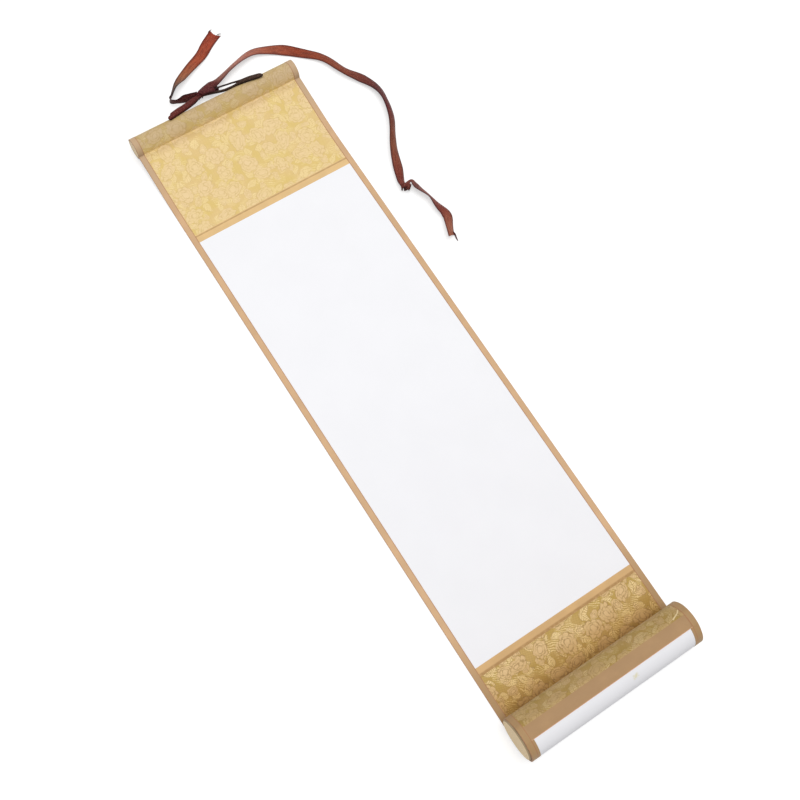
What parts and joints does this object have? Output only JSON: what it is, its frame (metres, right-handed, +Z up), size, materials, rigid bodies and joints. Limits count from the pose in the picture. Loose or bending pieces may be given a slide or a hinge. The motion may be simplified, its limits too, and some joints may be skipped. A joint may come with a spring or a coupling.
{
  "type": "paper scroll",
  "caption": "Small blank hanging scroll lying open face up, with patterned silk ends, a roller, a stave and a tied ribbon.",
  "frame": {"origin": "on the table, under the middle of the scroll's length and width without its ribbon", "axes": "+X across the sheet to its right edge, +Y along the sheet from the roller to the stave, +Z up from the face"},
  "size_m": [0.1385, 0.4193, 0.0237],
  "materials": {
    "backing_paper": "matt",
    "writing_paper": "matt",
    "brocade": "woven, slight sheen",
    "plain_silk": "woven, slight sheen",
    "edge_tape": "woven, matt",
    "wood": "bare",
    "ribbon": "ribbed, slight sheen"
  },
  "bodies": {
    "root": {"backing_paper": "backing_paper", "upper_brocade": "brocade", "upper_cross_strip": "plain_silk", "writing_paper": "writing_paper", "lower_cross_strip": "plain_silk", "lower_brocade": "brocade", "roller_end_strip": "plain_silk", "stave_end_strip": "plain_silk", "left_edge_binding": "edge_tape", "right_edge_binding": "edge_tape", "roller_rod": "wood", "stave_rod": "wood", "hanging_ribbon": "ribbon", "tie_knot": "ribbon", "tie_tail_left": "ribbon", "tie_tail_right": "ribbon", "tail_knot": "ribbon"}
  },
  "joints": []
}
